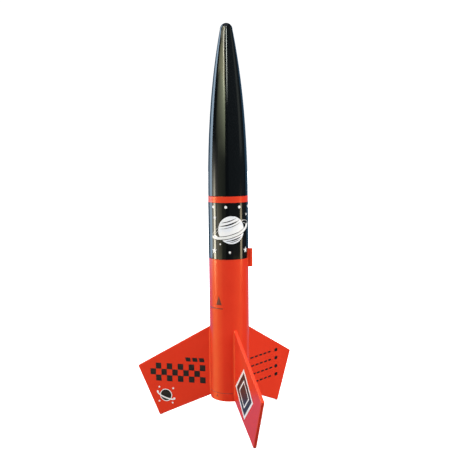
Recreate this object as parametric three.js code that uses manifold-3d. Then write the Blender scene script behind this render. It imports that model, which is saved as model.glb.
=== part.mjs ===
// Model rocket: a card tube on three swept balsa fins, with a lift-off plastic nose, a rolled
// parachute on an elastic shock cord, and a motor mount with a spring-steel hook.
// Millimetres, +Z up. The fins' landing flats stand on z = 0. The tube's axis runs up from
// x = 0, y = axisY, which centres the whole rocket over the origin.

import * as THREE from 'three';
import Module from 'manifold-3d';
import { mergeVertices } from 'three/addons/utils/BufferGeometryUtils.js';

const wasm = await Module();
wasm.setup();

// ---------- driving dimensions ----------

const gap = 0.3;                                     // glue line or running clearance
const roundSegments = 48;
const smallSegments = 24;

const tube = { outer: 20.79, inner: 20.25, aft: 26.8, mouth: 241.7 };

// Nose outline: r = tube.outer * (1 - ((z - start) / length) ^ power), then a round tip.
const nose = { start: 218.5, length: 221, power: 2.6, tipCentre: 410.1, wall: 1.5 };
const shoulder = { outer: tube.inner - gap, inner: 18.45, aft: 214.7 };
const eyelet = { width: 9, thickness: 2.5, aft: 206.3, holeHeight: 210.5, holeRadius: 2.2 };

const fin = { thickness: 3.2, rootTop: 102.8, reach: 103.7, tipTop: 54.3, heel: 78.5, toe: 79.8 };
const finAzimuths = { front: 270, right: 30, left: 150 };
const lug = { outer: 2.2, inner: 1.95, aft: 167.8, length: 19, azimuth: 330 };

const motorTube = { outer: 9.35, inner: 9, aft: 27, front: 97 };
const thrustRing = { outer: 8.7, inner: 6.6, aft: 91.3, front: 96.3 };
const ring = { inner: motorTube.outer + gap, outer: tube.inner - gap, thickness: 1.6 };
const ringAft = 32.8;
const ringFront = 92.6;
const ringNotch = { width: 4.4, reach: 14 };

const hook = { width: 3.2, thickness: 0.6, inset: 9.95, slit: 90.6, catch: 20.4, legReach: 7.2 };
const band = { aft: 83.5, front: 88.5, wall: 0.4 };

const canopy = { radius: 14.9, aft: 112, front: 192, edge: 3 };
const lines = { baseRadius: 9, topRadius: 1.5, aft: canopy.front + gap, front: 205.9 };
const cordMount = { thickness: 0.8, span: 64, azimuth: 210, aft: 158, front: 183 };
const cord = { radius: 1.3, coilRadius: 17.25, turns: 4, aft: 170, front: 200, pointsPerTurn: 14 };

const filmThickness = 0.1;
const filmGap = 0.04;
const wrapFilm = { aft: 177.1, front: 235.4 };

// Films on the fins: side is +1 or -1 across the plate, reach is measured from the tube's axis.
const finFilms = {
  left_panel: { azimuth: finAzimuths.left, side: 1, reach: [26, 90], height: [37.5, 60.5] },
  left_strip: { azimuth: finAzimuths.left, side: 1, reach: [26, 50.5], height: [60.8, 67.5] },
  left_roundel: { azimuth: finAzimuths.left, side: 1, reach: [61, 83], height: [12, 34.5] },
  right: { azimuth: finAzimuths.right, side: -1, reach: [31, 84], height: [28, 65] },
  front: { azimuth: finAzimuths.front, side: -1, reach: [24, 80], height: [20, 67.5] },
};

const radians = THREE.MathUtils.degToRad;
const axisY = (fin.reach * (1 - Math.sin(radians(30)))
  - 0.5 * fin.thickness * Math.cos(radians(30))) / 2;

// ---------- materials ----------

const finish = (color, roughness, metalness = 0) =>
  new THREE.MeshStandardMaterial({ color, roughness, metalness });

const material = {
  redPaint: finish(0xe0391f, 0.25),
  blackPlastic: finish(0x0b0d10, 0.12),
  whitePlastic: finish(0xe8e6df, 0.45),
  blackFilm: finish(0x101214, 0.25),
  clearFilm: finish(0xf2f0ea, 0.3),
  kraftPaper: finish(0xb48a5a, 0.85),
  whitePaper: finish(0xeeeae0, 0.9),
  springSteel: finish(0x8f959b, 0.3, 1),
  elastic: finish(0xe9e7e1, 0.9),
  canopyFilm: finish(0xe4572a, 0.4),
  thread: finish(0xf0eee8, 0.85),
};

// ---------- shape helpers ----------

// A solid of revolution about +Z. The outline is [radius, z] points that run anticlockwise.
function turned(outline, segments = roundSegments) {
  const points = outline.map(([r, z]) => new THREE.Vector2(r, z));
  return new THREE.LatheGeometry(points, segments).rotateX(Math.PI / 2);
}

function turnedTube(inner, outer, aft, front, segments = roundSegments) {
  const corners = [[outer, aft], [outer, front], [inner, front], [inner, aft], [outer, aft]];
  return turned(corners, segments);
}

// A flat plate whose outline is [reach, z] points, standing in the XZ plane, centred on y = 0.
function uprightPlate(outline, thickness) {
  const shape = new THREE.Shape(outline.map(([x, z]) => new THREE.Vector2(x, z)));
  const plate = new THREE.ExtrudeGeometry(shape, { depth: thickness, bevelEnabled: false });
  return plate.translate(0, 0, -thickness / 2).rotateX(Math.PI / 2);
}

function boxBetween(low, high) {
  const size = high.map((value, i) => value - low[i]);
  const middle = high.map((value, i) => (value + low[i]) / 2);
  return new THREE.BoxGeometry(...size).translate(...middle);
}

// A strip's outline: its centre line, moved half its thickness to each side.
function stripOutline(centreLine, thickness) {
  const points = centreLine.map(([x, z]) => new THREE.Vector2(x, z));
  const legs = points.slice(1).map((point, i) => point.clone().sub(points[i]).normalize());
  const edge = (sign) => points.map((point, i) => {
    const arriving = legs[Math.max(i - 1, 0)];
    const leaving = legs[Math.min(i, legs.length - 1)];
    const along = arriving.clone().add(leaving).normalize();
    const half = (sign * thickness) / 2 / along.dot(leaving);
    return [point.x - along.y * half, point.y + along.x * half];
  });
  return [...edge(-1).reverse(), ...edge(1)];
}

function toSolid(geometry) {
  const bare = geometry.clone();
  bare.deleteAttribute('normal');
  bare.deleteAttribute('uv');
  const merged = mergeVertices(bare, 1e-4);
  return new wasm.Manifold(new wasm.Mesh({
    numProp: 3,
    vertProperties: new Float32Array(merged.attributes.position.array),
    triVerts: new Uint32Array(merged.index.array),
  }));
}

function toGeometry(solid) {
  const mesh = solid.getMesh();
  const geometry = new THREE.BufferGeometry();
  geometry.setAttribute('position', new THREE.BufferAttribute(mesh.vertProperties, 3));
  geometry.setIndex(new THREE.BufferAttribute(mesh.triVerts, 1));
  return geometry;
}

const rocket = new THREE.Group();
rocket.position.y = axisY;

function add(name, geometry, meshMaterial, azimuth = 0) {
  const mesh = new THREE.Mesh(geometry, meshMaterial);
  mesh.name = name;
  mesh.rotation.z = radians(azimuth);
  rocket.add(mesh);
}

// ---------- airframe ----------

function bodyTube() {
  return turnedTube(tube.inner, tube.outer, tube.aft, tube.mouth);
}

// The root stands one glue line off the tube. The heel and toe bound the landing flat.
function finPlate() {
  const root = tube.outer + gap;
  const outline = [
    [root, tube.aft], [fin.heel, 0], [fin.toe, 0], [fin.reach, fin.tipTop], [root, fin.rootTop],
  ];
  return uprightPlate(outline, fin.thickness);
}

function launchLug() {
  const offset = tube.outer + gap + lug.outer;
  const end = lug.aft + lug.length;
  return turnedTube(lug.inner, lug.outer, lug.aft, end, smallSegments).translate(offset, 0, 0);
}

// ---------- nose ----------

const noseRadius = (z) => tube.outer * (1 - ((z - nose.start) / nose.length) ** nose.power);

function arc(centreZ, radius, steps) {
  return Array.from({ length: steps }, (_, i) => {
    const angle = ((i + 1) / steps) * Math.PI / 2;
    return [radius * Math.cos(angle), centreZ + radius * Math.sin(angle)];
  });
}

function noseCone() {
  const seam = tube.mouth + gap;
  const outerSteps = 14;
  const innerSteps = 8;
  const outer = Array.from({ length: outerSteps + 1 }, (_, i) => {
    const z = THREE.MathUtils.lerp(seam, nose.tipCentre, i / outerSteps);
    return [noseRadius(z), z];
  });
  const tipRadius = noseRadius(nose.tipCentre);
  const inner = Array.from({ length: innerSteps + 1 }, (_, i) => {
    const z = THREE.MathUtils.lerp(nose.tipCentre, seam, i / innerSteps);
    return [Math.min(noseRadius(z) - nose.wall, shoulder.inner), z];
  });
  return turned([
    [shoulder.outer, shoulder.aft], [shoulder.outer, seam], ...outer,
    ...arc(nose.tipCentre, tipRadius, 4),
    ...arc(nose.tipCentre, tipRadius - nose.wall, 3).reverse(), ...inner,
    [shoulder.inner, shoulder.aft], [shoulder.outer, shoulder.aft],
  ]);
}

// The plug closes the shoulder, and carries the eyelet that the cords tie to.
function noseBase() {
  const plugRadius = shoulder.inner - gap;
  const plugThickness = 3;
  const rimHeight = 8;
  const rimWall = 1.5;
  const rimTop = shoulder.aft + rimHeight;
  const plugTop = shoulder.aft + plugThickness;
  const plug = turned([
    [0, shoulder.aft], [plugRadius, shoulder.aft], [plugRadius, rimTop],
    [plugRadius - rimWall, rimTop], [plugRadius - rimWall, plugTop], [0, plugTop],
  ]);
  const half = eyelet.width / 2;
  const loop = new THREE.Shape();
  loop.moveTo(-half, shoulder.aft + 1);
  loop.lineTo(-half, eyelet.aft + half);
  loop.absarc(0, eyelet.aft + half, half, Math.PI, 2 * Math.PI, false);
  loop.lineTo(half, shoulder.aft + 1);
  const hole = new THREE.Path();
  hole.absarc(0, eyelet.holeHeight, eyelet.holeRadius, 0, 2 * Math.PI, true);
  loop.holes.push(hole);
  const settings = { depth: eyelet.thickness, bevelEnabled: false, curveSegments: 12 };
  const plate = new THREE.ExtrudeGeometry(loop, settings)
    .translate(0, 0, -eyelet.thickness / 2).rotateX(Math.PI / 2);
  return toGeometry(toSolid(plug).add(toSolid(plate)));
}

// ---------- motor mount ----------

function motorMountTube() {
  const wall = turnedTube(motorTube.inner, motorTube.outer, motorTube.aft, motorTube.front);
  const half = hook.width / 2 + gap;
  const rise = hook.thickness / 2 + gap;
  const slit = boxBetween([-half, 0, hook.slit - rise], [half, motorTube.outer + 1, hook.slit + rise]);
  return toGeometry(toSolid(wall).subtract(toSolid(slit)));
}

function centringRing(aft) {
  return turnedTube(ring.inner, ring.outer, aft, aft + ring.thickness);
}

// The notch lets the hook spring outwards.
function notchedRing(aft) {
  const half = ringNotch.width / 2;
  const notch = boxBetween([-half, 0, aft - 1], [half, ringNotch.reach, aft + ring.thickness + 1]);
  return toGeometry(toSolid(centringRing(aft)).subtract(toSolid(notch)));
}

// One bent strip: a leg through the slit, a long run down the motor tube, the catch that
// holds the motor in, and the finger tab.
function motorHook() {
  const centreLine = [
    [hook.legReach, hook.slit], [hook.inset, hook.slit], [hook.inset, hook.catch],
    [hook.legReach - 0.4, hook.catch - 0.6], [hook.legReach + 0.8, hook.catch - 2.7],
    [hook.inset + 0.6, hook.catch - 4.5],
  ];
  return uprightPlate(stripOutline(centreLine, hook.thickness), hook.width);
}

// A paper band holds the hook against the motor tube, with a saddle over the strip.
function hookBand() {
  const saddleInner = hook.inset + hook.thickness / 2 + gap;
  const saddleHalf = hook.width / 2 + gap;
  const sleeve = turnedTube(ring.inner, ring.inner + band.wall, band.aft, band.front);
  const saddle = boxBetween(
    [-saddleHalf - band.wall, motorTube.outer, band.aft],
    [saddleHalf + band.wall, saddleInner + band.wall, band.front],
  );
  const channel = boxBetween(
    [-saddleHalf, 0, band.aft - 1], [saddleHalf, saddleInner, band.front + 1],
  );
  return toGeometry(toSolid(sleeve).add(toSolid(saddle)).subtract(toSolid(channel)));
}

// ---------- recovery gear ----------

// The canopy, rolled up with its shroud lines wrapped round it.
function rolledCanopy() {
  const { radius, aft, front, edge } = canopy;
  return turned([
    [0, aft], [radius - edge, aft], [radius, aft + edge],
    [radius, front - edge], [radius - edge, front], [0, front],
  ], smallSegments);
}

// The gathered stretch of the shroud lines, from the roll up to the eyelet.
function gatheredLines() {
  return turned([
    [0, lines.aft], [lines.baseRadius, lines.aft], [lines.topRadius, lines.front],
    [0, lines.front],
  ], 12);
}

// A folded paper anchor, glued to the tube's inner wall.
function shockCordMount() {
  const outer = tube.inner - gap;
  const inner = outer - cordMount.thickness;
  const half = radians(cordMount.span / 2);
  const shape = new THREE.Shape();
  shape.absarc(0, 0, outer, -half, half, false);
  shape.absarc(0, 0, inner, half, -half, true);
  const depth = cordMount.front - cordMount.aft;
  return new THREE.ExtrudeGeometry(shape, { depth, bevelEnabled: false, curveSegments: 10 })
    .translate(0, 0, cordMount.aft);
}

// The elastic winds up round the rolled canopy from the mount, then crosses to the eyelet.
function shockCordRoute() {
  const points = [];
  const count = cord.turns * cord.pointsPerTurn;
  const start = radians(cordMount.azimuth);
  for (let i = 0; i <= count; i += 1) {
    const angle = start + (i / cord.pointsPerTurn) * 2 * Math.PI;
    const z = THREE.MathUtils.lerp(cord.aft, cord.front, i / count);
    const x = cord.coilRadius * Math.cos(angle);
    const y = cord.coilRadius * Math.sin(angle);
    points.push(new THREE.Vector3(x, y, z));
  }
  points.push(new THREE.Vector3(-9, -12.2, 203.4));
  points.push(new THREE.Vector3(0.5, -10.4, 206.6));
  points.push(new THREE.Vector3(3.6, -6.6, 209));
  points.push(new THREE.Vector3(1.2, -3.1, 210.5));
  return new THREE.CatmullRomCurve3(points);
}

function shockCord() {
  const section = new THREE.Shape();
  section.absarc(0, 0, cord.radius, 0, 2 * Math.PI, false);
  return new THREE.ExtrudeGeometry(section, {
    steps: 80, curveSegments: 4, extrudePath: shockCordRoute(),
  });
}

// ---------- printed films ----------

function wrapAroundFilm() {
  const inner = tube.outer + filmGap;
  return turnedTube(inner, inner + filmThickness, wrapFilm.aft, wrapFilm.front);
}

function finFilm({ side, reach, height }) {
  const [low, high] = height;
  const outline = [[reach[0], low], [reach[1], low], [reach[1], high], [reach[0], high]];
  const offset = side * (fin.thickness / 2 + filmGap + filmThickness / 2);
  return uprightPlate(outline, filmThickness).translate(0, offset, 0);
}

// ---------- assembly ----------

add('body_tube', bodyTube(), material.redPaint);
for (const [place, azimuth] of Object.entries(finAzimuths)) {
  add(`fin_${place}`, finPlate(), material.redPaint, azimuth);
}
add('launch_lug', launchLug(), material.redPaint, lug.azimuth);

add('nose_cone', noseCone(), material.blackPlastic);
add('nose_base', noseBase(), material.whitePlastic);

add('motor_tube', motorMountTube(), material.kraftPaper);
add('thrust_ring', turnedTube(thrustRing.inner, thrustRing.outer, thrustRing.aft,
  thrustRing.front), material.kraftPaper);
add('centring_ring_aft', notchedRing(ringAft), material.kraftPaper);
add('centring_ring_forward', centringRing(ringFront), material.kraftPaper);
add('motor_hook', motorHook(), material.springSteel, 90);
add('hook_band', hookBand(), material.whitePaper);

add('shock_cord_mount', shockCordMount(), material.whitePaper, cordMount.azimuth);
add('shock_cord', shockCord(), material.elastic);
add('parachute_canopy', rolledCanopy(), material.canopyFilm);
add('shroud_lines', gatheredLines(), material.thread);

add('wrap_decal', wrapAroundFilm(), material.blackFilm);
for (const [name, film] of Object.entries(finFilms)) {
  add(`fin_decal_${name}`, finFilm(film), material.clearFilm, film.azimuth);
}

export default rocket;
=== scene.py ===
"""Model rocket: the looks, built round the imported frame.

Shapes are worked out in millimetres from the tube's axis, with z up from the ground, and placed by
place(). Angles are azimuths in degrees, anticlockwise from +X.
"""

import math

import bmesh
import bpy
from mathutils import Matrix, Vector


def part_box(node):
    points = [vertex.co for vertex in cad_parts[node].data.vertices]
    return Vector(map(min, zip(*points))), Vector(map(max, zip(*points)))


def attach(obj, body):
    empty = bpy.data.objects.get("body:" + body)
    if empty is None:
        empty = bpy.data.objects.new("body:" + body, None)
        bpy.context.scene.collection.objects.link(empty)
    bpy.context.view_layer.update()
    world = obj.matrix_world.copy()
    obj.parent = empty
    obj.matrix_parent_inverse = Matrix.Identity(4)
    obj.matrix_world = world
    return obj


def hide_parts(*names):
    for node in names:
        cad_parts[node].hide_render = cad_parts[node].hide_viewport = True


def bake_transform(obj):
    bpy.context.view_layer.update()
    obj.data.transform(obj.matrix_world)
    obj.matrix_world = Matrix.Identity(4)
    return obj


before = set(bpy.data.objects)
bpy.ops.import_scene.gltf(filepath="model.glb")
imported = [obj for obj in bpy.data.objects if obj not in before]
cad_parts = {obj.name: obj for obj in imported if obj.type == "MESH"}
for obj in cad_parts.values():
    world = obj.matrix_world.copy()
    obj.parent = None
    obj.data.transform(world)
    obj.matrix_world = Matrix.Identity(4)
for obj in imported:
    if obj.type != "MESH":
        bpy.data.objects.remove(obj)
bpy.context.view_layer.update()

MM = 0.001
ROUND = 192          # segments round the tube and nose
FINE = 64            # segments round small tubes
GUARD = 0.2          # how far inside a flat face its guard line runs from a rounded edge


def corners_of(node):
    """The node's box: its low and high corners, in millimetres."""
    return [Vector(corner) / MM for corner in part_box(node)]


def heights_of(node):
    """The node's lowest and highest z, in millimetres."""
    return [corner.z for corner in corners_of(node)]


tube_low, tube_high = corners_of("body_tube")
AXIS = (tube_low + tube_high) / 2 * MM
TUBE_R = (tube_high.x - tube_low.x) / 2
TUBE_AFT, TUBE_MOUTH = heights_of("body_tube")
TUBE_WALL = 0.54
SHOULDER_AFT, NOSE_TIP = heights_of("nose_cone")
fin_low, fin_high = corners_of("fin_front")
FIN_THICKNESS = fin_high.x - fin_low.x
FIN_AZIMUTHS = {"front": 270, "right": 30, "left": 150}
LUG_AZIMUTH = 330
CAMERA_TURN = -17.16   # the camera's azimuth from the front, in degrees


# ---------------- camera

def make_camera():
    """The main camera: its distance, its height above the tube's aft end, and its aim."""
    distance, height = 0.71303, 0.25588
    pan, pitch, roll = math.radians(0.551), math.radians(-6.594), math.radians(-0.575)
    turn = math.radians(CAMERA_TURN)
    data = bpy.data.cameras.new("camera")
    data.sensor_width = 36
    data.lens = 52.4
    camera = bpy.data.objects.new("camera", data)
    bpy.context.collection.objects.link(camera)
    place_at = Matrix.Translation((AXIS.x, AXIS.y, TUBE_AFT * MM)) @ Matrix.Rotation(turn, 4, "Z")
    aim = (Matrix.Rotation(-pan, 4, "Z") @ Matrix.Rotation(math.pi / 2 + pitch, 4, "X")
           @ Matrix.Rotation(roll, 4, "Z"))
    camera.matrix_world = place_at @ Matrix.Translation((0, -distance, height)) @ aim
    bpy.context.scene.camera = camera


# ---------------- materials

def map_range(nodes, links, source, low, high, start=0.0, end=1.0):
    """A number that goes from low to high as source goes from start to end."""
    made = nodes.new("ShaderNodeMapRange")
    for socket, value in zip(("From Min", "From Max", "To Min", "To Max"), (start, end, low, high)):
        made.inputs[socket].default_value = value
    links.new(source, made.inputs["Value"])
    return made.outputs["Result"]


class Paint:
    """A Principled material with short helpers for its node tree."""

    def __init__(self, name, color, roughness, metallic=0.0):
        self.material = bpy.data.materials.new(name)
        self.material.use_nodes = True
        self.nodes = self.material.node_tree.nodes
        self.links = self.material.node_tree.links
        self.shader = self.nodes["Principled BSDF"]
        self.color = color
        self.relief = None
        self.set("Base Color", (*color, 1))
        self.set("Roughness", roughness)
        self.set("Metallic", metallic)

    def set(self, socket, value):
        self.shader.inputs[socket].default_value = value

    def node(self, kind, **settings):
        made = self.nodes.new(kind)
        for key, value in settings.items():
            if key in made.inputs:
                made.inputs[key].default_value = value
            else:
                setattr(made, key, value)
        return made

    def link(self, source, target):
        self.links.new(source, target)

    def noise(self, scale, detail, stretch=(1, 1, 1), turned=0.0):
        """Noise over object coordinates, stretched along axes turned by an angle about z."""
        mapping = self.node("ShaderNodeMapping")
        mapping.inputs["Scale"].default_value = stretch
        mapping.inputs["Rotation"].default_value = (0, 0, turned)
        self.link(self.node("ShaderNodeTexCoord").outputs["Object"], mapping.inputs["Vector"])
        texture = self.node("ShaderNodeTexNoise", Scale=scale, Detail=detail)
        self.link(mapping.outputs["Vector"], texture.inputs["Vector"])
        return texture.outputs["Fac"]

    def spread(self, source, low, high, start=0.3, end=0.7):
        return map_range(self.nodes, self.links, source, low, high, start, end)

    def math(self, operation, first, second=None):
        made = self.node("ShaderNodeMath", operation=operation)
        for socket, value in zip(made.inputs, (first, second)):
            if isinstance(value, (int, float)):
                socket.default_value = value
            elif value is not None:
                self.link(value, socket)
        return made.outputs["Value"]

    def vary_color(self, source, other, start=0.3, end=0.7):
        """The base colour drifts towards other where source is high."""
        mix = self.node("ShaderNodeMix", data_type="RGBA")
        colours = [socket for socket in mix.inputs if socket.type == "RGBA"]
        colours[0].default_value = (*self.color, 1)
        colours[1].default_value = (*other, 1)
        self.link(self.spread(source, 0, 1, start, end), mix.inputs["Factor"])
        result = [socket for socket in mix.outputs if socket.type == "RGBA"][0]
        self.link(result, self.shader.inputs["Base Color"])

    def vary_roughness(self, source, low, high):
        self.link(self.spread(source, low, high), self.shader.inputs["Roughness"])

    def bump(self, source, depth_mm, strength=1.0):
        """Adds a bump over any earlier one; depth is what source's 0 to 1 stands for."""
        made = self.node("ShaderNodeBump", Strength=strength, Distance=depth_mm * MM)
        self.link(source, made.inputs["Height"])
        if self.relief is not None:
            self.link(self.relief, made.inputs["Normal"])
        self.relief = made.outputs["Normal"]
        self.link(self.relief, self.shader.inputs["Normal"])


def mottled(name, color, roughness, metallic=0.0, drift=(), gloss=(), relief=(), more=None):
    """A paint whose colour, gloss and relief each follow a noise of their own.

    Each of the three starts with its noise's (scale, detail, stretch). Then drift has the other
    colour, gloss the lowest and highest roughness, and relief its depth in millimetres. more
    holds other sockets' values.
    """
    paint = Paint(name, color, roughness, metallic)
    varied = ((paint.vary_color, drift), (paint.vary_roughness, gloss), (paint.bump, relief))
    for vary, values in varied:
        if values:
            grain, *rest = values
            vary(paint.noise(*grain), *rest)
    for socket, value in (more or {}).items():
        paint.set(socket, value)
    return paint


RED = (0.79, 0.046, 0.019)


def spiral_seam(paint, pitch_mm, width=0.012):
    """0 on a helical line round the tube's axis, 1 elsewhere: a wound paper tube's seam."""
    coordinates = paint.node("ShaderNodeTexCoord")
    split = paint.node("ShaderNodeSeparateXYZ")
    paint.link(coordinates.outputs["Object"], split.inputs["Vector"])
    across = paint.math("SUBTRACT", split.outputs["Y"], AXIS.y)
    angle = paint.math("ARCTAN2", across, split.outputs["X"])
    turns = paint.math("DIVIDE", angle, 2 * math.pi)
    rise = paint.math("DIVIDE", split.outputs["Z"], pitch_mm * MM)
    along = paint.math("FRACT", paint.math("ADD", paint.math("ADD", rise, turns), 10))
    distance = paint.math("ABSOLUTE", paint.math("SUBTRACT", along, 0.5))
    return paint.spread(distance, 0, 1, 0, width)


def red_paint(name, grain_azimuth=None):
    """Sprayed gloss enamel: over wound card, or over balsa whose grain just shows."""
    paint = mottled(name, RED, 0.22, drift=((38, 2), (0.75, 0.041, 0.017)),
                    gloss=((70, 2), 0.19, 0.25), relief=((700, 1), 0.004),
                    more={"Specular Tint": (1.0, 0.72, 0.30, 1)})
    if grain_azimuth is None:
        paint.bump(spiral_seam(paint, 96), 0.05, 0.6)
    else:
        grain = paint.noise(260, 5, (0.06, 1, 1), math.radians(-grain_azimuth))
        paint.bump(grain, 0.035)
    return paint.material


def wound_card():
    paint = mottled("wound_card", (0.47, 0.31, 0.17), 0.8, relief=((900, 5), 0.02),
                    drift=((300, 6), (0.34, 0.21, 0.105), 0.35, 0.75))
    paint.bump(spiral_seam(paint, 42, 0.02), 0.12)
    return paint.material


def ink(name, color, other):
    """A printed film: flat colour with the faint mottle of its ink, and a soft gloss."""
    return mottled(name, color, 0.35, drift=((420, 3), other, 0.4, 0.75),
                   gloss=((160, 3), 0.3, 0.42), relief=((1800, 2), 0.003),
                   more={"Specular IOR Level": 0.4}).material


def canopy_film(name, color, other):
    """Thin polyethylene: creased, a little translucent, with a waxy gloss."""
    return mottled(name, color, 0.42, drift=((120, 4), other), gloss=((240, 3), 0.3, 0.5),
                   relief=((160, 5, (1, 1, 0.25)), 0.4), more={"Subsurface Weight": 0.1}).material


PLAIN_FINISHES = {
    "black_plastic": dict(color=(0.0035, 0.0045, 0.0055), roughness=0.1,
                          gloss=((60, 3), 0.08, 0.13), relief=((24, 2, (1, 1, 0.35)), 0.02)),
    "black_film": dict(color=(0.005, 0.0055, 0.006), roughness=0.08,
                       gloss=((90, 3), 0.06, 0.10), relief=((300, 2), 0.0005)),
    "planet_ink": dict(color=(0.94, 0.94, 0.94), roughness=0.3, gloss=((160, 3), 0.26, 0.36),
                       drift=((85, 3, (1, 1, 2.2)), (0.78, 0.83, 0.92), 0.45, 0.75)),
    "kraft_card": dict(color=(0.40, 0.25, 0.13), roughness=0.85, relief=((900, 5), 0.03),
                       drift=((320, 6, (1, 1, 3)), (0.28, 0.165, 0.08), 0.35, 0.75)),
    "white_paper": dict(color=(0.80, 0.78, 0.72), roughness=0.9, relief=((1300, 5), 0.02),
                        drift=((500, 6), (0.70, 0.675, 0.61), 0.4, 0.75)),
    "white_plastic": dict(color=(0.78, 0.77, 0.73), roughness=0.4,
                          gloss=((200, 4), 0.32, 0.5), relief=((1100, 3), 0.01)),
    "spring_steel": dict(color=(0.40, 0.41, 0.43), roughness=0.32, metallic=1,
                         drift=((140, 4), (0.30, 0.29, 0.29)),
                         gloss=((700, 3, (1, 1, 0.05)), 0.24, 0.42),
                         relief=((1600, 2, (1, 1, 0.04)), 0.006)),
    "elastic_weave": dict(color=(0.80, 0.78, 0.73), roughness=0.9,
                          drift=((900, 3), (0.62, 0.60, 0.55)),
                          relief=((2600, 2, (1, 1, 0.5)), 0.12), more={"Sheen Weight": 0.3}),
    "thread_twist": dict(color=(0.86, 0.85, 0.80), roughness=0.85,
                         drift=((1500, 2), (0.68, 0.66, 0.60)), relief=((3800, 2), 0.1)),
}


# ---------------- mesh helpers

def place(x, y, z):
    return AXIS.x + x * MM, AXIS.y + y * MM, z * MM


def polar(radius, azimuth, z):
    angle = math.radians(azimuth)
    return radius * math.cos(angle), radius * math.sin(angle), z


def turned_by(point, azimuth):
    """A point worked out for azimuth 0, turned about the tube's axis."""
    x, y, z = point
    angle = math.radians(azimuth)
    return (x * math.cos(angle) - y * math.sin(angle),
            x * math.sin(angle) + y * math.cos(angle), z)


def link_piece(name, mesh, made, sharp):
    """An object of mesh, filled from the bmesh made: normals outwards, smooth up to sharp."""
    bmesh.ops.recalc_face_normals(made, faces=made.faces)
    made.to_mesh(mesh)
    made.free()
    mesh.shade_smooth()
    mesh.set_sharp_from_angle(angle=math.radians(sharp))
    piece = bpy.data.objects.new(name, mesh)
    bpy.context.collection.objects.link(piece)
    return piece


def link_mesh(name, points, faces, materials, slots=None, sharp=35):
    """A mesh object from points in millimetres; slots gives each face's material."""
    mesh = bpy.data.meshes.new(name)
    mesh.from_pydata([place(*point) for point in points], [], faces)
    for material in materials:
        mesh.materials.append(material)
    if slots:
        mesh.polygons.foreach_set("material_index", slots)
    made = bmesh.new()
    made.from_mesh(mesh)
    bmesh.ops.remove_doubles(made, verts=made.verts, dist=1e-7)
    return link_piece(name, mesh, made, sharp)


def make_piece(name, shape, materials, body, slot, *nodes, slots=None, sharp=35):
    """A piece of shape (points, faces) that rides on body and stands for nodes."""
    points, faces = shape
    finished(link_mesh(name, points, faces, materials, slots, sharp), body, slot, *nodes)


def finished(piece, body, slot, *nodes):
    """The piece rides on body and stands for nodes; slot is not used."""
    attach(piece, body)
    if nodes:
        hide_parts(*nodes)


def joined(rows):
    return [point for row in rows for point in row]


def bend(start, corner, end, steps):
    """Points from start to end along the curve that corner pulls outwards."""
    for k in range(steps + 1):
        t = k / steps
        yield start * (1 - t) ** 2 + corner * 2 * t * (1 - t) + end * t ** 2


def rounded(outline, radius, steps=4, closed=True):
    """The outline with its corners rounded; radius is one number, or one for each point."""
    count = len(outline)
    radii = radius if isinstance(radius, (list, tuple)) else [radius] * count
    result = []
    for i, point in enumerate(outline):
        if not closed and i in (0, count - 1) or radii[i] == 0:
            result.append(tuple(point))
            continue
        here = Vector(point)
        back = Vector(outline[i - 1]) - here
        ahead = Vector(outline[(i + 1) % count]) - here
        half = back.angle(ahead) / 2
        cut = min(radii[i] / math.tan(half), back.length * 0.49, ahead.length * 0.49)
        start, end = here + back.normalized() * cut, here + ahead.normalized() * cut
        result.extend(tuple(p) for p in bend(start, here, end, steps))
    return result


def guarded(outline, closed):
    """The outline with a point added just inside each end of its long sides.

    It keeps the smooth shading of a rounded corner from spreading over the side beside it.
    """
    corners = [Vector(point) for point in outline]
    count = len(corners)
    result = []
    for i, here in enumerate(corners):
        result.append(tuple(here))
        if not closed and i == count - 1:
            break
        ahead = corners[(i + 1) % count]
        length = (ahead - here).length
        if length < 5 * GUARD:
            continue
        step = (ahead - here) * (GUARD / length)
        if (here - corners[i - 1]).length < length / 4 and (closed or i > 0):
            result.append(tuple(here + step))
        if (corners[(i + 2) % count] - ahead).length < length / 4 and (closed or i < count - 2):
            result.append(tuple(ahead - step))
    return result


def spin(outline, segments=ROUND, centre=(0, 0)):
    """A solid of revolution: the outline is (radius, z), closed, or open with ends on the axis."""
    on_axis = outline[0][0] == 0
    points, rings = [], []
    for radius, z in guarded(outline, not on_axis):
        start = len(points)
        if radius == 0:
            points.append((centre[0], centre[1], z))
            rings.append([start] * segments)
            continue
        for k in range(segments):
            x, y, _ = polar(radius, 360 * k / segments, z)
            points.append((centre[0] + x, centre[1] + y, z))
        rings.append(list(range(start, start + segments)))
    pairs = list(zip(rings, rings[1:]))
    if not on_axis:
        pairs.append((rings[-1], rings[0]))
    faces = []
    for low, high in pairs:
        for k in range(segments):
            n = (k + 1) % segments
            faces.append(list(dict.fromkeys((low[k], low[n], high[n], high[k]))))
    return points, faces


def tube_piece(name, node, outer, inner, edges, material, slot, segments=ROUND, centre=(0, 0)):
    """A plain tube on the airframe, as tall as the CAD node it stands for; edges are rounded."""
    low, high = heights_of(node)
    outline = rounded([(outer, low), (outer, high), (inner, high), (inner, low)], edges, 3)
    make_piece(name, spin(outline, segments, centre), [material], "airframe", slot, node)


def inset(outline, distance):
    """The anticlockwise outline moved inwards by distance."""
    result = []
    count = len(outline)
    for i, point in enumerate(outline):
        here = Vector(point)
        arriving = (here - Vector(outline[i - 1])).normalized()
        leaving = (Vector(outline[(i + 1) % count]) - here).normalized()
        along = (arriving + leaving).normalized()
        shift = distance / max(along.dot(leaving), 0.2)
        result.append((here.x - along.y * shift, here.y + along.x * shift))
    return result


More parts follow.
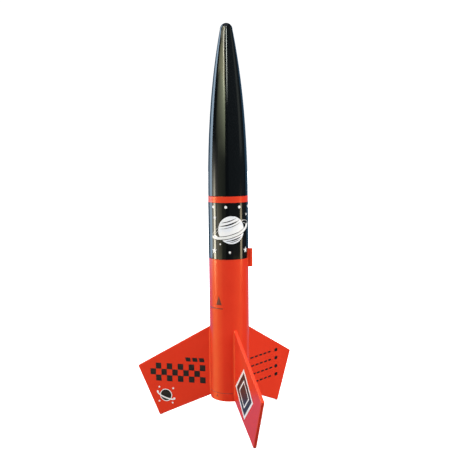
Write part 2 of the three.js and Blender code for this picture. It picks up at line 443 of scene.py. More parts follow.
def plate(outline, thickness, edge):
    """A flat plate in the XZ plane, its rim rounded to the radius edge."""
    points, faces, rings, rim = [], [], [], []
    half, steps = thickness / 2, 5
    for k in range(steps + 1):
        angle = math.pi / 2 * k / steps
        rim.append((edge * (1 - math.cos(angle)), half - edge + edge * math.sin(angle)))
    rim.append((edge + GUARD, half))
    sides = [(d, -y) for d, y in reversed(rim)] + rim
    for depth, y in sides:
        ring = inset(outline, depth)
        rings.append(range(len(points), len(points) + len(ring)))
        points.extend((x, y, z) for x, z in ring)
    count = len(outline)
    for low, high in zip(rings, rings[1:]):
        for k in range(count):
            n = (k + 1) % count
            faces.append((low[k], low[n], high[n], high[k]))
    faces.append(tuple(rings[0]))
    faces.append(tuple(reversed(rings[-1])))
    return points, faces


def loft(rows, closed=False, first=0):
    """The faces of a tube through rows of points, numbered from first; open ends are capped."""
    count, size = len(rows), len(rows[0])
    faces = []
    for i in range(count if closed else count - 1):
        a, b = first + i * size, first + (i + 1) % count * size
        for k in range(size):
            n = (k + 1) % size
            faces.append((a + k, a + n, b + n, b + k))
    if not closed:
        faces.append(tuple(range(first, first + size)))
        faces.append(tuple(range(first + (count - 1) * size, first + count * size)))
    return faces


def sweep(path, section, normal_at, closed=False):
    """A tube along path: section is (across, out) offsets, out along normal_at(i)."""
    count, rows = len(path), []
    for i, here in enumerate(path):
        before = path[i - 1] if closed or i else here
        after = path[(i + 1) % count] if closed or i < count - 1 else here
        along = (after - before).normalized()
        out = normal_at(i)
        out = (out - along * out.dot(along)).normalized()
        across = along.cross(out)
        rows.append([tuple(here + across * a + out * b) for a, b in section])
    return joined(rows), loft(rows, closed)


def oval(half_wide, half_thick, count):
    """A rounded section, fuller than an ellipse."""
    result = []
    for k in range(count):
        angle = 2 * math.pi * (k + 0.5) / count
        c, s = math.cos(angle), math.sin(angle)
        result.append((half_wide * math.copysign(abs(c) ** 0.7, c),
                       half_thick * math.copysign(abs(s) ** 0.7, s)))
    return result


# ---------------- airframe

def body_tube(paint, card, dark):
    """The wound tube: painted outside, bare inside, with a dark scribed line near its aft end."""
    inner = TUBE_R - TUBE_WALL
    within_wall = inner + 0.2
    scribe, depth, half = TUBE_AFT + 8.6, 0.14, 0.22
    outline = rounded([
        (TUBE_R, TUBE_AFT), (TUBE_R, scribe - half), (TUBE_R - depth, scribe),
        (TUBE_R, scribe + half), (TUBE_R, TUBE_MOUTH), (inner, TUBE_MOUTH), (inner, TUBE_AFT),
    ], [0.18, 0, 0, 0, 0.18, 0.12, 0.12])
    points, faces = spin(outline)
    slots = []
    for face in faces:
        radius = sum(math.hypot(*points[k][:2]) for k in face) / len(face)
        height = sum(points[k][2] for k in face) / len(face)
        in_scribe = radius > within_wall and abs(height - scribe) < half
        slots.append(2 if in_scribe else 0 if radius > within_wall else 1)
    make_piece("body_tube_wall", (points, faces), [paint, card, dark], "airframe", "painted_tube",
               "body_tube", slots=slots)


def fin_outline():
    """The fin's corners as (reach, z), anticlockwise, read from the CAD front fin."""
    corners = {(round((AXIS.y - v.co.y) / MM, 2), round(v.co.z / MM, 2))
               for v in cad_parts["fin_front"].data.vertices}
    middle = [sum(c[k] for c in corners) / len(corners) for k in (0, 1)]
    return sorted(corners, key=lambda c: math.atan2(c[1] - middle[1], c[0] - middle[0]))


def fin(place_name, paint):
    """A sanded balsa fin, its root sunk to the tube's surface."""
    root_reach = TUBE_R - 0.25
    outline = [(max(root_reach, r) if r > TUBE_R + 1 else root_reach, z) for r, z in fin_outline()]
    radii = [0 if r == root_reach else 1.3 for r, z in outline]
    points, faces = plate(rounded(outline, radii, 3), FIN_THICKNESS, 0.7)
    points = [turned_by(point, FIN_AZIMUTHS[place_name]) for point in points]
    make_piece(f"fin_{place_name}_balsa", (points, faces), [paint], "airframe",
               "painted_balsa", f"fin_{place_name}", sharp=40)


def fillet(place_name, paint):
    """The painted glue fillets along both sides of a fin's root."""
    heights = [z for r, z in fin_outline() if r < TUBE_R + 1]
    low, high = min(heights), max(heights)
    least, size, stations = 0.15, 1.5, 40
    half = FIN_THICKNESS / 2
    reach = math.sqrt(TUBE_R ** 2 - half ** 2)
    points, faces = [], []
    for side in (-1, 1):
        rows = []
        for i in range(stations):
            t = i / (stations - 1)
            taper = min(1, t * 9, (1 - t) * 7) ** 0.5
            width = least + size * taper
            z = low + 0.1 + (high - low - 0.2) * t
            spread = math.asin((half + width) / TUBE_R)
            on_balsa = Vector((reach + width, half))
            corner = Vector((reach + width * 0.22, half + width * 0.2))
            on_card = Vector((TUBE_R * math.cos(spread), TUBE_R * math.sin(spread)))
            buried = [on_card * 0.985, Vector((reach - 0.4, half - 0.4)),
                      on_balsa - Vector((0.1, 0.4))]
            row = [*bend(on_balsa, corner, on_card, 6), *buried]
            rows.append([turned_by((p.x, side * p.y, z), FIN_AZIMUTHS[place_name]) for p in row])
        faces.extend(loft(rows, first=len(points)))
        points.extend(joined(rows))
    make_piece(f"fillet_{place_name}", (points, faces), [paint], "airframe", "painted_balsa",
               sharp=60)


def launch_lug(paint):
    """The painted lug tube, and the glue that beds it on the body."""
    low, high = corners_of("launch_lug")
    outer, inner = 2.2, 1.93
    centre = (low + high) / 2 - AXIS / MM
    tube_piece("launch_lug_tube", "launch_lug", outer, inner, 0.08, paint, "painted_tube", FINE,
               (centre.x, centre.y))

    foot_half, stations, margin = 2.6, 13, 0.25
    foot = Vector((math.sqrt(TUBE_R ** 2 - foot_half ** 2) - 0.02, foot_half))
    waist = Vector((TUBE_R + 0.55, 1.35))
    top = Vector((math.hypot(centre.x, centre.y) - 0.75, 2.02))
    flank = list(bend(foot, waist, top, 6))
    section = [(p.x, -p.y) for p in reversed(flank)] + [(p.x, p.y) for p in flank]
    section.append((TUBE_R - 0.5, 0))
    aft, length = low.z + margin, high.z - low.z - 2 * margin
    rows = []
    for k in range(stations):
        z = aft + length * k / (stations - 1)
        rows.append([turned_by((x, y, z), LUG_AZIMUTH) for x, y in section])
    make_piece("launch_lug_glue", (joined(rows), loft(rows)), [paint], "airframe",
               "painted_tube", sharp=60)


# ---------------- nose

def nose_radius(z):
    """The CAD nose's outline: a power curve that meets the tube's radius at the seam."""
    start, length, power = TUBE_MOUTH - 23.2, 221.0, 2.6
    return TUBE_R * (1 - ((z - start) / length) ** power)


def nose_cone(plastic):
    """The hollow nose: shoulder, step, power-curve side and round tip, in one thin shell."""
    seam, chamfer, wall = TUBE_MOUTH + 0.15, 0.3, 1.5
    tip_radius, tip_steps = 6.46, 16
    tip_centre = NOSE_TIP - tip_radius
    shoulder_outer, shoulder_inner = TUBE_R - TUBE_WALL - 0.3, 18.45
    outline = [(shoulder_outer - 0.5, SHOULDER_AFT), (shoulder_outer, SHOULDER_AFT + 0.6),
               (shoulder_outer, seam), (nose_radius(seam) - chamfer, seam),
               (nose_radius(seam), seam + chamfer)]
    rows = 72
    for k in range(1, rows + 1):
        z = seam + chamfer + (tip_centre - seam - chamfer) * k / rows
        outline.append((nose_radius(z), z))
    for k in range(1, tip_steps + 1):
        angle = math.pi / 2 * k / tip_steps
        radius = 0 if k == tip_steps else tip_radius * math.cos(angle)
        outline.append((radius, tip_centre + tip_radius * math.sin(angle)))
    shell = tip_radius - wall
    inner = [(0, tip_centre + shell), (shell * 0.7, tip_centre + shell * 0.7)]
    inner_rows = 24
    for k in range(inner_rows):
        z = tip_centre + (SHOULDER_AFT + 1 - tip_centre) * k / (inner_rows - 1)
        inner.append((min(nose_radius(max(z, seam)) - wall, shoulder_inner), z))
    inner.append((shoulder_inner, SHOULDER_AFT))
    make_piece("nose_cone_shell", spin(outline[::-1] + inner[::-1]), [plastic], "nose",
               "black_plastic", "nose_cone", sharp=28)


# ---------------- printed films

def dense(outline, step):
    """The closed outline with points no further apart than step."""
    result = []
    for i, point in enumerate(outline):
        here, ahead = Vector(point), Vector(outline[(i + 1) % len(outline)])
        parts = max(1, math.ceil((ahead - here).length / step))
        result.extend(tuple(here.lerp(ahead, k / parts)) for k in range(parts))
    return result


def filled(outline, step=1.2):
    """A flat patch: rings from the outline to its middle. The outline is seen whole from there."""
    edge = dense(outline, step)
    middle = Vector([sum(p[k] for p in edge) / len(edge) for k in (0, 1)])
    furthest = max((Vector(p) - middle).length for p in edge)
    rings = max(2, math.ceil(furthest / step / 1.5))
    points = [tuple(middle)]
    for ring in range(1, rings + 1):
        points.extend(tuple(middle.lerp(Vector(p), ring / rings)) for p in edge)
    count, faces = len(edge), []
    for k in range(count):
        n = (k + 1) % count
        faces.append((0, 1 + k, 1 + n))
        for ring in range(rings - 1):
            a, b = 1 + ring * count, 1 + (ring + 1) * count
            faces.append((a + k, b + k, b + n, a + n))
    return points, faces


def between(outer, inner, closed=True):
    """A flat strip between two lines with the same number of points."""
    count = len(outer)
    points = list(outer) + list(inner)
    last = count if closed else count - 1
    faces = [(k, (k + 1) % count, count + (k + 1) % count, count + k) for k in range(last)]
    return points, faces


def leaning(centre, x, y, tilt):
    """The point at x, y from centre, turned about it by tilt degrees."""
    turn = math.radians(tilt)
    return (centre[0] + x * math.cos(turn) - y * math.sin(turn),
            centre[1] + x * math.sin(turn) + y * math.cos(turn))


def ellipse(centre, wide, tall, tilt=0, start=0, end=360, count=96):
    """Points along an ellipse, or along its arc from start to end; tilt turns it."""
    result = []
    spans = count if end - start == 360 else count - 1
    for k in range(count):
        angle = math.radians(start + (end - start) * k / spans)
        result.append(leaning(centre, wide * math.cos(angle), tall * math.sin(angle), tilt))
    return result


def rectangle(low_x, low_y, high_x, high_y, lean=0.0):
    """Corners, anticlockwise; lean shifts the top edge along x."""
    return [(low_x, low_y), (high_x, low_y), (high_x + lean, high_y), (low_x + lean, high_y)]


def star(centre, radius):
    """A five-pointed star, one point up."""
    result = []
    for k in range(10):
        angle = math.radians(90 + 36 * k)
        reach = radius if k % 2 == 0 else radius * 0.45
        result.append((centre[0] + reach * math.cos(angle), centre[1] + reach * math.sin(angle)))
    return result


def on_tube(azimuth):
    """Maps (arc length, z, height) to the tube's surface, arc length counted from azimuth."""
    def mapped(x, y, height):
        return polar(TUBE_R + height, azimuth + math.degrees(x / TUBE_R), y)
    return mapped


def on_fin(place_name, side):
    """Maps (reach, z, height) to one face of a fin; side is +1 or -1 across the plate."""
    def mapped(x, y, height):
        return turned_by((x, side * (FIN_THICKNESS / 2 + height), y), FIN_AZIMUTHS[place_name])
    return mapped


FILM = 0.1            # the wrap's thickness


def layers(foot, top):
    """The foot and top of each printed layer, lowest first; each stands over the one before."""
    rise = 0.02
    return [(foot + rise * k, top + rise * k) for k in range(6)]


WRAP_LAYERS = layers(0.02, FILM + 0.03)
FIN_LAYERS = layers(-0.05, 0.06)


def printed(name, patches, mapped, layer, material, *nodes, slot="clear_decal"):
    """One piece of film: flat patches, given a thickness by layer, and laid in place."""
    low, high = layer
    made = bmesh.new()
    for points, faces in patches:
        corners = [made.verts.new((x, y, 0)) for x, y in points]
        for face in faces:
            made.faces.new([corners[k] for k in face])
    bmesh.ops.remove_doubles(made, verts=made.verts, dist=1e-4)
    lifted = bmesh.ops.extrude_face_region(made, geom=list(made.faces), use_keep_orig=True)
    top = {v for v in lifted["geom"] if isinstance(v, bmesh.types.BMVert)}
    for vertex in made.verts:
        height = high if vertex in top else low
        vertex.co = place(*mapped(vertex.co.x, vertex.co.y, height))
    mesh = bpy.data.meshes.new(name)
    mesh.materials.append(material)
    finished(link_piece(name, mesh, made, 35), "airframe", slot, *nodes)


EMBLEM = {"azimuth": 262, "height": 207.6}
DOTS = 9


def wrap_film(film):
    """The black wrap, its ends meeting in a short overlap at the back, between two dots."""
    tube_piece("wrap_decal_film", "wrap_decal", TUBE_R + FILM, TUBE_R - 0.05,
               [0.05, 0.05, 0, 0], film, "black_decal")
    low, high = heights_of("wrap_decal")
    half_wide, margin, from_emblem = 3, 0.02, 164
    overlap = [filled(rectangle(-half_wide, low + margin, half_wide, high - margin))]
    printed("wrap_decal_overlap", overlap, on_tube(EMBLEM["azimuth"] + from_emblem),
            (0.02, FILM + 0.08), film, slot="black_decal")


def wrap_art(white, planet, film):
    """A row of dots, and a ringed planet with stars round it."""
    surface = on_tube(EMBLEM["azimuth"])
    dot_row = heights_of("wrap_decal")[1] - 4.4
    spacing, offset, dot = 2 * math.pi * TUBE_R / DOTS, 8.7, 1.45
    dots = [filled(ellipse((offset + spacing * k, dot_row), dot, dot, count=24), 0.8)
            for k in range(DOTS)]
    printed("wrap_dots", dots, surface, WRAP_LAYERS[0], white)

    middle = (0, EMBLEM["height"])
    radius, tilt = 14.2, 17
    ring_out, ring_in = (23.0, 7.6), (18.2, 5.0)
    (gap_foot, _), (front_foot, gap_top), (_, front_top) = WRAP_LAYERS[3:6]

    def disc(grow):
        return filled(ellipse(middle, radius + grow, radius + grow))

    def ring_strip(grow, start, end):
        outer = ellipse(middle, ring_out[0] + grow, ring_out[1] + grow, tilt, start, end)
        inner = ellipse(middle, ring_in[0] - grow, ring_in[1] - grow, tilt, start, end)
        return between(outer, inner, closed=False)

    def belt(height, thick):
        """A band across the disc, thinning to its ends, bowed like the ring."""
        reach = math.sqrt((radius - 0.7) ** 2 - height ** 2)
        rows = []
        for edge in (thick / 2, -thick / 2):
            row = []
            for k in range(25):
                x = reach * (k / 12 - 1)
                y = height + edge * (1 - (x / reach) ** 2) + 0.0112 * (x * x - reach * reach)
                row.append(leaning(middle, x, y, tilt))
            rows.append(row)
        return between(*rows, closed=False)

    printed("planet_ring_back", [ring_strip(0, 0, 180)], surface, WRAP_LAYERS[0], white)
    printed("planet_disc_edge", [disc(0.9)], surface, WRAP_LAYERS[1], film, slot="black_decal")
    printed("planet_disc", [disc(0)], surface, WRAP_LAYERS[2], planet)
    belts = [belt(height, thick) for height, thick in (
        (10.2, 0.9), (7.4, 1.5), (4.9, 0.6), (-9.4, 1.3), (-11.6, 0.7))]
    printed("planet_belts", belts, surface, WRAP_LAYERS[3], film, slot="black_decal")
    printed("planet_ring_gap", [ring_strip(0.7, 180, 360)], surface, (gap_foot, gap_top), film,
            slot="black_decal")
    printed("planet_ring_front", [ring_strip(0, 180, 360)], surface, (front_foot, front_top),
            white)
    stars = [filled(star((x, EMBLEM["height"] + y), size), 0.9) for x, y, size in (
        (-18.5, 12.5, 2.4), (-19.5, -21.5, 3.3), (17.0, -21.5, 3.3),
        (19.0, 15.5, 1.8), (-2.0, -23.0, 1.7), (-12.0, -14.5, 1.3))]
    printed("wrap_stars", stars, surface, WRAP_LAYERS[0], white)


def left_fin_art(black, white):
    """A three-row checker panel, a strip of blocks above it, and a small planet roundel."""
    surface = on_fin("left", 1)
    columns, rows = 10, 3
    left, right, low, high = 26.8, 89.2, 38.4, 58.6
    wide, tall = (right - left) / columns, (high - low) / rows
    cells = [filled(rectangle(left + wide * i, low + tall * j, left + wide * (i + 1),
                              low + tall * (j + 1)), 2)
             for i in range(columns) for j in range(rows) if (i + j) % 2 == 0]
    printed("left_checker", cells, surface, FIN_LAYERS[0], black, "fin_decal_left_panel")
    block, lean = 5.6, 1.0
    blocks = [filled(rectangle(start, 61.8, start + block, 66.2, lean), 2)
              for start in (27.6, 35.2, 42.8)]
    printed("left_blocks", blocks, surface, FIN_LAYERS[0], black, "fin_decal_left_strip")

    middle, radius, edge, tilt = (71.9, 22.6), 6.1, 0.8, 20
    discs = [filled(ellipse(middle, r, r, count=48)) for r in (radius + edge, radius)]
    ring = between(ellipse(middle, 11.2, 3.7, tilt, 162, 378),
                   ellipse(middle, 9.0, 2.2, tilt, 162, 378), closed=False)
    stars = [filled(star((middle[0] + x, middle[1] + y), 1.5), 0.9)
             for x, y in ((-8.2, 8.0), (7.6, 8.8), (-7.4, -8.2), (7.8, -7.2))]
    printed("roundel_edge", discs[:1], surface, FIN_LAYERS[0], white, "fin_decal_left_roundel")
    printed("roundel_disc", discs[1:], surface, FIN_LAYERS[1], black)
    printed("roundel_ring", [ring], surface, FIN_LAYERS[2], white)
    printed("roundel_stars", stars, surface, FIN_LAYERS[0], white)


def front_fin_art(black, white):
    """A long black diamond with a white edge and a white line inside."""
    surface = on_fin("front", -1)
    middle, wide, tall = (52, 45.0), 27.3, 26.3

    def diamond(grow):
        x, y = wide + grow, tall + grow
        return [(middle[0] - x, middle[1]), (middle[0], middle[1] - y),
                (middle[0] + x, middle[1]), (middle[0], middle[1] + y)]

    line = dense(diamond(-11.5), 2)
    inner = [tuple(Vector(point).lerp(Vector(middle), 0.16)) for point in line]
    printed("diamond_edge", [filled(diamond(0), 2)], surface, FIN_LAYERS[0], white,
            "fin_decal_front")
    printed("diamond_field", [filled(diamond(-3.8), 2)], surface, FIN_LAYERS[1], black)
    printed("diamond_inner", [between(line, inner)], surface, FIN_LAYERS[2], white)


def right_fin_art(black):
    """Four rows of dashes, each ending in a dot."""
    half_thick, long, spacing, last = 0.9, 5.0, 7.4, 68
    patches = []
    for start, height in ((32, 60.4), (33, 50.9), (35, 41.2), (40, 31.6)):
        x = start
        while x < last:
            patches.append(filled(rectangle(x, height - half_thick, x + long,
                                            height + half_thick), 2))
            x += spacing
        patches.append(filled(ellipse((76.4, height), 2.8, 2.1, count=24)))
    printed("right_dashes", patches, on_fin("right", -1), FIN_LAYERS[0], black,
            "fin_decal_right")


def tube_marks(dark):
    """A hairline and an arrow on the lower tube, and a small arrow near the aft end."""
    line = filled(rectangle(-14, 125.3, 4.6, 126.1), 1)
    arrow = filled([(-3.2, 129.6), (3.2, 129.6), (0, 139.0)])
    small = filled([(-2.2, 31.2), (-5.0, 31.2), (-3.6, 33.4)])
    printed("tube_marks", [line, arrow, small], on_tube(222), (-0.05, 0.05), dark)


# ---------------- motor mount

def motor_hook(steel):
    """The bent strip, with rounded bends."""
    low, high = heights_of("motor_hook")
    half_wide, half_thick = 1.6, 0.3
    slit, reach, leg, catch = high - half_thick, 9.95, 7.2, low + 4.7
    corners = [(leg, slit), (reach, slit), (reach, catch), (leg - 0.4, catch - 0.6),
               (leg + 0.8, catch - 2.7), (reach + 0.6, catch - 4.5)]
    line = rounded(corners, [0, 0.8, 0.8, 0.8, 3, 0], 6, closed=False)
    path = [Vector((x, 0, z)) for x, z in line]
    fine = []
    for a, b in zip(path, path[1:]):
        parts = max(1, int((b - a).length / 3))
        fine.extend(a.lerp(b, k / parts) for k in range(parts))
    fine.append(path[-1])
    section = oval(half_wide, half_thick, 16)
    points, faces = sweep(fine, section, lambda i: side_of(fine, i))
    points = [turned_by(point, 90) for point in points]
    make_piece("motor_hook_strip", (points, faces), [steel], "hook", "spring_steel", "motor_hook")


def side_of(path, i):
    """Square to the path, in the XZ plane."""
    along = path[min(i + 1, len(path) - 1)] - path[max(i - 1, 0)]
    return Vector((-along.z, 0, along.x))


# ---------------- recovery gear

CORD = {"radius": 17.25, "turns": 4, "aft": 161.0, "front": 201.0, "azimuth": 210, "points": 14}
ROLL = {"radius": 13.8, "core": 1.6, "aft": 114.5, "front": 189.5, "pitch": 0.33}


def smooth_line(points, per_span=6):
    """A Catmull-Rom curve through points."""
    result = []
    last = len(points) - 1
    for i in range(last):
        p0, p1 = points[max(i - 1, 0)], points[i]
        p2, p3 = points[i + 1], points[min(i + 2, last)]
        for k in range(per_span):
            t = k / per_span
            result.append(0.5 * (2 * p1 + (p2 - p0) * t + (2 * p0 - 5 * p1 + 4 * p2 - p3) * t * t
                                 + (3 * p1 - 3 * p2 + p3 - p0) * t ** 3))
    result.append(points[-1])
    return result


def away_from_axis(path):
    """For each point of path, the direction out from the tube's axis."""
    def out(i):
        here = path[i]
        flat = Vector((here.x, here.y, 0.0))
        return flat.normalized() if flat.length > 0.5 else Vector((0, 1, 0.3)).normalized()
    return out


def shock_cord(weave):
    """Flat braided elastic, coiled on edge round the roll."""
    count = CORD["turns"] * CORD["points"]
    route = []
    for i in range(count + 1):
        z = CORD["aft"] + (CORD["front"] - CORD["aft"]) * i / count
        route.append(Vector(polar(CORD["radius"], CORD["azimuth"] + 360 * i / CORD["points"], z)))
    route += [Vector((-9, -12.2, 203.4)), Vector((0.5, -10.4, 206.6)), Vector((3.6, -6.6, 209)),
              Vector((1.2, -3.1, 210.5))]
    path = smooth_line(route)
    strip = sweep(path, oval(0.4, 1.5, 14), away_from_axis(path))
    piece = link_mesh("shock_cord_elastic", *strip, [weave], sharp=60)
    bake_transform(piece)
    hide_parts("shock_cord")


def canopy(orange, white):
    """The film canopy, folded to a long spike and rolled up: one spiral sheet."""
    depth = ROLL["radius"] - ROLL["core"]
    turns = depth / ROLL["pitch"]
    steps, rows, gore = int(turns * 44), 14, 190
    points, faces, slots = [], [], []
    for i in range(steps + 1):
        t = i / steps
        angle = 2 * math.pi * turns * t
        radius = ROLL["core"] + depth * t
        skew = 1.3 * math.sin(angle * 0.31 + 2.0) + 0.8 * math.sin(angle * 0.083)
        for k in range(rows + 1):
            v = k / rows
            z = ROLL["aft"] + (ROLL["front"] - ROLL["aft"]) * v + skew * (2 * v - 1)
            ripple = 0.12 * math.sin(9 * v + angle * 0.5) * math.sin(3 * angle + 4 * v)
            points.append(polar(radius + ripple, math.degrees(angle), z))
    for i in range(steps):
        for k in range(rows):
            a, b = i * (rows + 1) + k, (i + 1) * (rows + 1) + k
            faces.append((a, b, b + 1, a + 1))
            slots.append((i // gore) % 2)
    piece = link_mesh("parachute_canopy_roll", points, faces, [orange, white], slots, sharp=80)
    finished(piece, "parachute", "canopy_film", "parachute_canopy")


def shroud_lines(thread):
    """Six lines, wrapped together round the roll, then gathered to the eyelet."""
    radius, start, turns, steps = 14.45, 40, 4.1, 60
    aft, rise, spacing = 122, 6.1, 0.95         # rise for each turn, spacing from line to line
    fan = 4.2                                   # degrees from line to line up the roll's side
    leave = start + 360 * turns
    for line in range(6):
        route = []
        for i in range(steps + 1):
            turned = turns * i / steps
            z = aft + spacing * line + rise * turned
            route.append(Vector(polar(radius, start + 360 * turned, z)))
        for k, z in enumerate((156, 166, 177, 186)):
            route.append(Vector(polar(radius, leave + 14 + 8 * k - fan * line, z)))
        top = leave + 40 - fan * line
        for reach, azimuth, z in ((12.6, top + 4, 192.6), (8.2, top + 12 * (line - 2.5), 197),
                                  (4.2, 60 * line, 202), (1.7, 60 * line, 206)):
            route.append(Vector(polar(reach, azimuth, z)))
        path = smooth_line(route, 4)
        cord = sweep(path, oval(0.42, 0.42, 8), away_from_axis(path))
        piece = link_mesh(f"shroud_line_{line + 1}", *cord, [thread], sharp=80)
        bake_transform(piece)
        if line == 0:
            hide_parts("shroud_lines")


def knots(weave, thread):
    """Trefoils: the knots that tie the elastic and the gathered lines to the eyelet."""
    for name, centre, size, thick, material, slot in (
            ("shock_cord_knot", (0.6, -2.9, 210.2), 0.85, 0.8, weave, "elastic"),
            ("shroud_line_knot", (0, 0, 206.6), 0.62, 0.5, thread, "shroud_thread")):
        path, steps = [], 72
        for k in range(steps):
            t = 2 * math.pi * k / steps
            offset = Vector((math.sin(t) + 2 * math.sin(2 * t), -math.sin(3 * t),
                             math.cos(t) - 2 * math.cos(2 * t)))
            path.append(Vector(centre) + offset * size * 0.8)
        middle = Vector(centre)
        rope = sweep(path, oval(thick, thick, 10), lambda i: path[i] - middle, True)
        make_piece(name, rope, [material], "nose", slot, sharp=80)


# ---------------- stage and light

def soft_box(name, size, radiance, color, fade, centre, turned, diffuse=False):
    """A rectangular light of a given radiance, faded by a factor at its left, right, foot and top.

    It shows only as a reflection, or with diffuse it only lights the surfaces.
    """
    data = bpy.data.lights.new(name, "AREA")
    data.shape = "RECTANGLE"
    data.size, data.size_y = size
    data.energy = radiance * size[0] * size[1] * math.pi
    data.color = color
    data.use_nodes = True
    nodes, links = data.node_tree.nodes, data.node_tree.links
    across = nodes.new("ShaderNodeSeparateXYZ")
    links.new(nodes.new("ShaderNodeNewGeometry").outputs["Parametric"], across.inputs[0])
    product = nodes.new("ShaderNodeMath")
    product.operation = "MULTIPLY"
    for k, (low, high) in enumerate((fade[:2], fade[2:])):
        links.new(map_range(nodes, links, across.outputs[k], low, high), product.inputs[k])
    links.new(product.outputs["Value"], nodes["Emission"].inputs["Strength"])
    light = bpy.data.objects.new(name, data)
    bpy.context.collection.objects.link(light)
    light.location = centre
    light.rotation_euler = turned
    light.visible_camera = False
    light.visible_glossy = not diffuse
    light.visible_diffuse = diffuse


def at_turn(turn, height, distance):
    """The point at a turn from the camera's azimuth, right of it if positive, round the axis."""
    azimuth = math.radians(270 + CAMERA_TURN + turn)
    return Vector((AXIS.x + distance * math.cos(azimuth), AXIS.y + distance * math.sin(azimuth),
                   height))


def panel(name, turns, heights, radiance, color, fade=(1, 1, 1, 1), near=0.0, diffuse=False):
    """An upright soft box between two turns and two heights, 1.2 m from the axis, less near."""
    distance = 1.2 - near
    wide = 2 * distance * math.tan(math.radians(turns[1] - turns[0]) / 2)
    middle = at_turn(sum(turns) / 2, sum(heights) / 2, distance)
    aim = Vector((AXIS.x, AXIS.y, middle.z)) - middle
    soft_box(name, (wide, heights[1] - heights[0]), radiance, color, fade, middle,
             aim.to_track_quat("-Z", "Y").to_euler(), diffuse)


def streak(name, low, high, wide, radiance, color, fade=(1, 1, 1, 1)):
    """A narrow soft box that leans from one (turn, height) to another, in front of the panels."""
    foot, head = (at_turn(turn, height, 1.1) for turn, height in (low, high))
    middle = (foot + head) / 2
    along = head - foot
    back = middle - Vector((AXIS.x, AXIS.y, middle.z))
    across = along.cross(back).normalized()
    upright = along.normalized()
    turned = Matrix((across, upright, across.cross(upright))).transposed()
    soft_box(name, (wide, along.length), radiance, color, fade, middle, turned.to_euler())


def flat_panel(name, height, side, radiance, color):
    """A level square soft box above the rocket, or below it if its height is negative."""
    turned = (math.pi if height < 0 else 0, 0, math.radians(CAMERA_TURN))
    soft_box(name, (side, side), radiance, color, (1, 1, 1, 1), (AXIS.x, AXIS.y, height), turned)


def glowing(name, color, roughness, strength):
    """A paint that also shines white, by itself."""
    paint = Paint(name, color, roughness)
    paint.set("Emission Color", (1, 1, 1, 1))
    paint.set("Emission Strength", strength)
    return paint


def stage_piece(name, mesh, paint, unseen_by):
    """A piece of the stage, which the named kinds of ray don't meet."""
    mesh.materials.append(paint.material)
    piece = bpy.data.objects.new(name, mesh)
    bpy.context.collection.objects.link(piece)
    for rays in unseen_by:
        setattr(piece, "visible_" + rays, False)


def stage():
    """A pale floor, lit from below as a product table is, in a white surround."""
    half, z = 20.0, -0.0002
    floor = bpy.data.meshes.new("floor")
    floor.from_pydata([(-half, -half, z), (half, -half, z), (half, half, z), (-half, half, z)],
                      [], [(0, 1, 2, 3)])
    paint = glowing("floor_paint", (0.85, 0.85, 0.85), 0.75, 0.45)
    paint.vary_roughness(paint.noise(3, 2), 0.7, 0.8)
    stage_piece("floor", floor, paint, ("glossy", "diffuse"))

    dome = bpy.data.meshes.new("backdrop")
    made = bmesh.new()
    bmesh.ops.create_uvsphere(made, u_segments=32, v_segments=16, radius=12)
    made.to_mesh(dome)
    made.free()
    stage_piece("backdrop", dome, glowing("backdrop_glow", (0, 0, 0), 0.5, 1.05),
                ("diffuse", "glossy", "transmission", "volume_scatter", "shadow"))


def sky():
    """Even light from above the horizon and little from below; it shows in no reflection."""
    world = bpy.data.worlds.new("surround")
    bpy.context.scene.world = world
    world.use_nodes = True
    nodes, links = world.node_tree.nodes, world.node_tree.links
    split = nodes.new("ShaderNodeSeparateXYZ")
    links.new(nodes.new("ShaderNodeTexCoord").outputs["Generated"], split.inputs[0])
    background = nodes["Background"]
    background.inputs["Color"].default_value = (1, 1, 1, 1)
    brightness = map_range(nodes, links, split.outputs["Z"], 0.15, 2.1, 0.0, 0.6)
    links.new(brightness, background.inputs["Strength"])
    world.cycles_visibility.glossy = False


def fills():
    """Light for the matt surfaces from both sides, which shows in no reflection."""
    panel("left_fill", (-110, -60), (0.2, 1.4), 1.5, (1.0, 0.97, 0.9), diffuse=True)
    panel("right_fill", (40, 100), (0.2, 1.4), 1.7, (1.0, 0.97, 0.92), diffuse=True)


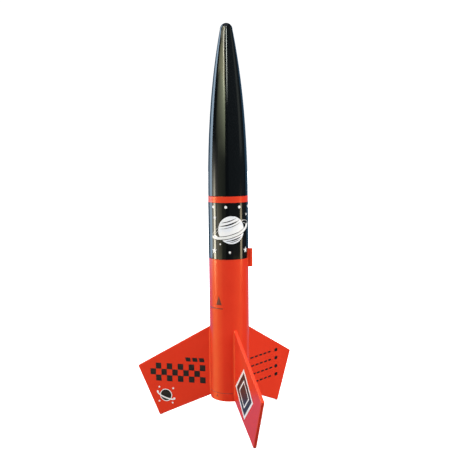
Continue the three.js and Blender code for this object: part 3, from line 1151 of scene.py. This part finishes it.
def highlights():
    """The soft boxes that the gloss reflects, from the camera's left round to its right."""
    cream, warm = (1.0, 0.97, 0.82), (1.0, 0.94, 0.73)
    green_white, pale_green = (0.92, 1.0, 0.66), (0.92, 1.0, 0.93)
    panel("left_rim_blue", (-178, -134), (-0.1, 1.6), 0.35, (0.28, 0.62, 1.0))
    panel("left_rim", (-134, -106), (0.0, 1.6), 10.0, (0.60, 0.80, 1.0), (0.3, 1.0, 0.6, 0.9))
    panel("left_rim_low", (-176, -113), (-0.9, 0.0), 1.3, (0.28, 0.42, 1.0), (0.35, 1.0, 0.2, 0.9))
    panel("left_edge", (-106, -60), (0.0, 0.42), 4.2, cream, (1.0, 0.25, 1.0, 0.0))
    panel("left_dim", (-60, -14), (-0.1, 0.44), 0.5, green_white, (1.0, 0.4, 0.6, 1.0))
    panel("left_strip", (-91, -78), (-0.02, 0.155), 15.0, warm, near=0.04)
    panel("left_strip_end", (-91, -78), (0.155, 0.32), 8.0, warm, (1, 1, 1, 0), 0.04)
    panel("left_warm", (-66, -36), (-0.02, 0.155), 1.6, (1.0, 0.92, 0.62), (1, 0.25, 1, 1), 0.02)
    panel("left_low_edge", (-113, -86), (-0.9, 0.0), 2.2, (1.0, 0.80, 0.30), (0.8, 1.0, 1.0, 1.0))
    panel("left_low", (-86, -40), (-0.9, 0.0), 2.4, (1.0, 0.86, 0.36), (1.0, 0.2, 1.0, 1.0))
    panel("left_high", (-78, -14), (0.36, 0.8), 8.5, green_white, (0.02, 1.0, 0.0, 1.0))
    panel("left_higher", (-84, -18), (0.8, 1.0), 7.5, (1.0, 1.0, 0.62), (0.25, 1.0, 0.9, 0.9))
    panel("left_highest", (-92, -28), (1.0, 2.0), 6.0, (1.0, 0.97, 0.74), (0.4, 1.0, 1.0, 0.5))
    panel("front_dim", (4, 110), (-0.1, 1.5), 0.10, (0.75, 0.95, 1.0), (0.8, 1.2, 0.7, 1.2))
    panel("right_high", (78, 96), (0.35, 1.2), 0.35, (0.95, 1.0, 0.85), near=0.02)
    panel("right_strip", (71, 84), (0.0, 0.16), 6.5, (1.0, 0.84, 0.55), near=0.04)
    panel("right_low", (25, 76), (-0.9, 0.0), 1.2, (1.0, 0.78, 0.30), (0.1, 1.0, 1.0, 1.0))
    panel("right_rim", (122, 170), (-0.9, 1.2), 0.4, (0.25, 0.6, 1.0))
    streak("left_streak", (-20, 0.60), (-34, 0.93), 0.09, 16.0, cream, (1, 1, 0.0, 1.0))
    streak("left_streak_high", (-34, 0.93), (-47, 1.15), 0.09, 30.0, cream, (1, 1, 0.55, 1.0))
    streak("left_streak_tip", (-47, 1.15), (-50, 2.2), 0.09, 30.0, cream, (1, 1, 1.0, 0.4))
    streak("middle_streak", (0.5, 0.62), (0.5, 1.05), 0.10, 32.0, pale_green, (1, 1, 0, 1))
    streak("middle_streak_tip", (0.5, 1.05), (0.5, 2.4), 0.10, 32.0, pale_green, (1, 1, 1.0, 0.3))
    flat_panel("overhead", 2.5, 1.8, 0.5, (0.72, 0.82, 1.0))
    flat_panel("underneath", -0.9, 2.4, 0.15, (0.45, 0.45, 1.0))


# ---------------- assembly

bpy.context.scene.view_settings.view_transform = "Standard"
make_camera()
stage()
sky()
highlights()
fills()

tube_paint = red_paint("tube_paint")
wound = wound_card()
white_ink = ink("white_ink", (0.90, 0.90, 0.88), (0.84, 0.84, 0.83))
black_ink = ink("black_ink", (0.010, 0.010, 0.012), (0.022, 0.018, 0.018))
dark_ink = ink("dark_ink", (0.10, 0.012, 0.010), (0.16, 0.02, 0.015))
plain = {name: mottled(name, **values).material for name, values in PLAIN_FINISHES.items()}

body_tube(tube_paint, wound, dark_ink)
for name, azimuth in FIN_AZIMUTHS.items():
    fin(name, red_paint(f"fin_paint_{name}", azimuth))
    fillet(name, tube_paint)
launch_lug(tube_paint)
nose_cone(plain["black_plastic"])
wrap_film(plain["black_film"])
wrap_art(white_ink, plain["planet_ink"], plain["black_film"])
left_fin_art(black_ink, white_ink)
front_fin_art(black_ink, white_ink)
right_fin_art(black_ink)
tube_marks(dark_ink)

tube_piece("motor_tube_wall", "motor_tube", 9.35, 9.0, 0.1, wound, "kraft_paper", 96)
motor_hook(plain["spring_steel"])
shock_cord(plain["elastic_weave"])
canopy(canopy_film("orange_film", (0.80, 0.17, 0.03), (0.70, 0.12, 0.02)),
       canopy_film("white_film", (0.84, 0.83, 0.80), (0.74, 0.73, 0.70)))
shroud_lines(plain["thread_twist"])
knots(plain["elastic_weave"], plain["thread_twist"])
for node, material in (("thrust_ring", "kraft_card"), ("centring_ring_aft", "kraft_card"),
                       ("centring_ring_forward", "kraft_card"), ("hook_band", "white_paper"),
                       ("shock_cord_mount", "white_paper"), ("nose_base", "white_plastic")):
    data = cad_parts[node].data
    data.materials.clear()
    data.materials.append(plain[material])
